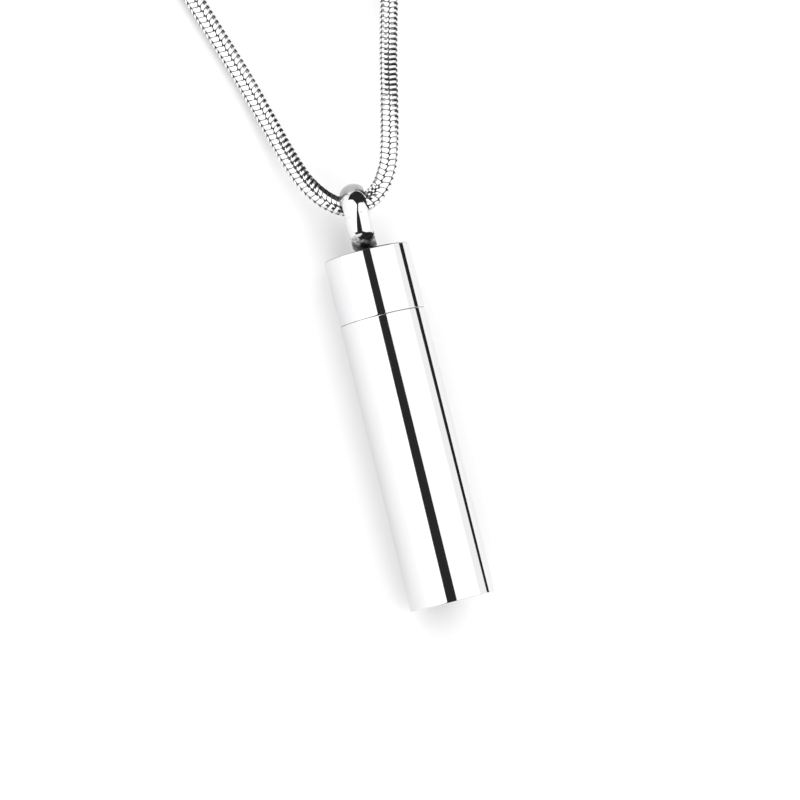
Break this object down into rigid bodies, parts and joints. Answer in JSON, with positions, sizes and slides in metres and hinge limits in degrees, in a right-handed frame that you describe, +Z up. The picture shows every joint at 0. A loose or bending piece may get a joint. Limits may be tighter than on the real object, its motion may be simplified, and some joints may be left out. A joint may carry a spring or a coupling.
{
  "type": "keepsake urn pendant",
  "caption": "Cylindrical steel keepsake urn pendant with a screw cap and a soldered ring, threaded on a round snake chain that closes with a barrel clasp.",
  "frame": {"origin": "centre of the whole necklace's bounding box, on the surface that it lies on", "axes": "+Y along the pendant from its closed foot to its ring and on to the far end of the loop, +Z up from the surface, +X to the right as the picture shows it"},
  "size_m": [0.0994, 0.2624, 0.0095],
  "materials": {
    "polished_steel": "mirror-polished stainless steel",
    "chain_steel": "polished stainless steel with darkened joints between the links"
  },
  "bodies": {
    "necklace": {"cap_with_bail": "polished_steel", "snake_chain": "chain_steel", "barrel_clasp": "polished_steel"},
    "tube": {"urn_tube": "polished_steel"}
  },
  "joints": [
    {"name": "tube_draw", "type": "slide", "parent": "necklace", "child": "tube", "axis": [0, -1, 0], "range_m": [0, 0.009]}
  ]
}
